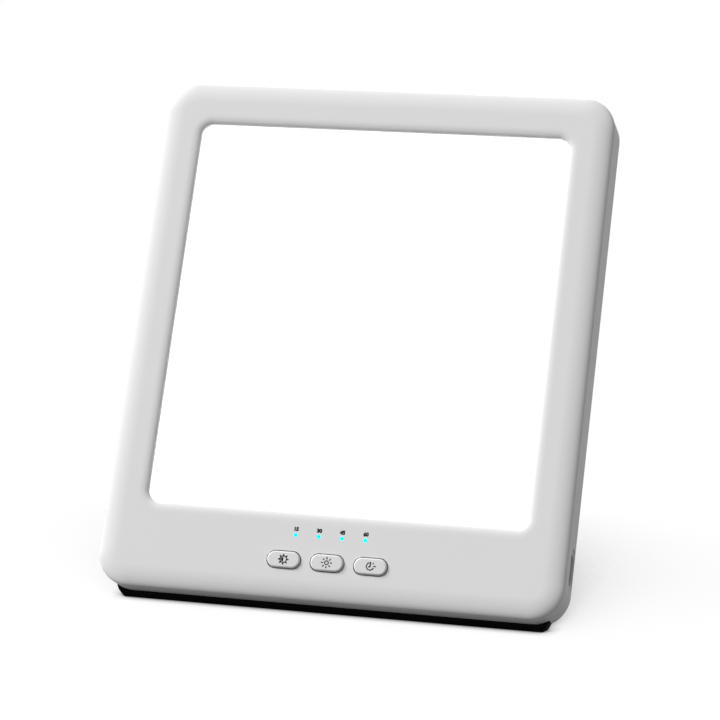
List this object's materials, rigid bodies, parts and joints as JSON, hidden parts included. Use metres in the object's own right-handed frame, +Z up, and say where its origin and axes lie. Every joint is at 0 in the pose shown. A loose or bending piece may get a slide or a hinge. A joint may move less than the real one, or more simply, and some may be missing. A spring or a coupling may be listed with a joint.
{
  "type": "light therapy lamp",
  "caption": "Slim tablet-shaped bright-light panel with an opal window, touch-sized push buttons, indicator lights and a fold-out leg that leans it back on a table.",
  "frame": {"origin": "middle of the front foot's flat underside, on the table", "axes": "+X to the right as seen from the front, +Y away from the viewer towards the leg, +Z up; the panel leans back from +Z"},
  "size_m": [0.205, 0.1383, 0.2102],
  "materials": {
    "housing_plastic": "fine satin moulded, pale grey-white",
    "cover_plastic": "fine spark-textured moulding, pale grey-white",
    "leg_plastic": "fine satin moulded, pale grey-white",
    "button_plastic": "smooth satin, pale grey-white",
    "diffuser_opal": "opal sheet, evenly lit white",
    "clear_acrylic": "polished clear acrylic",
    "white_film": "white reflector film",
    "tray_aluminium": "mill finish",
    "white_board": "white solder mask",
    "green_board": "green solder mask",
    "light_chip": "yellow phosphor in a white cup",
    "black_parts": "black moulded",
    "indicator_cyan": "lit cyan",
    "light_pipe": "clear moulding lit cyan",
    "bright_steel": "plated steel",
    "screw_steel": "zinc-plated steel",
    "lead_cover": "soft cable cover",
    "foot_rubber": "soft black rubber"
  },
  "bodies": {
    "housing": {"front_frame": "housing_plastic", "rear_cover": "cover_plastic", "diffuser": "diffuser_opal", "light_guide": "clear_acrylic", "reflector_sheet": "white_film", "back_tray": "tray_aluminium", "light_strip_left": "white_board", "light_strip_right": "white_board", "light_chips_left": "light_chip", "light_chips_right": "light_chip", "control_board": "green_board", "board_parts": "black_parts", "indicator_chips": "indicator_cyan", "indicator_light_pipe": "light_pipe", "switch_bodies": "black_parts", "inlet_board": "green_board", "inlet_socket": "bright_steel", "inlet_tongue": "black_parts", "power_leads": "lead_cover", "strip_leads": "lead_cover", "front_foot": "foot_rubber", "hinge_pin": "bright_steel", "hinge_washers": "bright_steel", "cover_screws": "screw_steel", "tray_screws": "screw_steel", "board_screws": "screw_steel", "inlet_screws": "screw_steel"},
    "brightness_key": {"brightness_button": "button_plastic", "brightness_plunger": "black_parts"},
    "light_mode_key": {"light_mode_button": "button_plastic", "light_mode_plunger": "black_parts"},
    "timer_key": {"timer_button": "button_plastic", "timer_plunger": "black_parts"},
    "stand": {"stand_leg": "leg_plastic", "leg_foot_pad": "foot_rubber"}
  },
  "joints": [
    {"name": "brightness_press", "type": "slide", "parent": "housing", "child": "brightness_key", "axis": [0, 0.8686, -0.4955], "range_m": [0, 0.0005], "stiffness_N_per_m": 2000},
    {"name": "light_mode_press", "type": "slide", "parent": "housing", "child": "light_mode_key", "axis": [0, 0.8686, -0.4955], "range_m": [0, 0.0005], "stiffness_N_per_m": 2000},
    {"name": "timer_press", "type": "slide", "parent": "housing", "child": "timer_key", "axis": [0, 0.8686, -0.4955], "range_m": [0, 0.0005], "stiffness_N_per_m": 2000},
    {"name": "stand_hinge", "type": "hinge", "parent": "housing", "child": "stand", "pos_m": [0, 0.07563, 0.13159], "axis": [1, 0, 0], "range_deg": [-50, 0]}
  ]
}
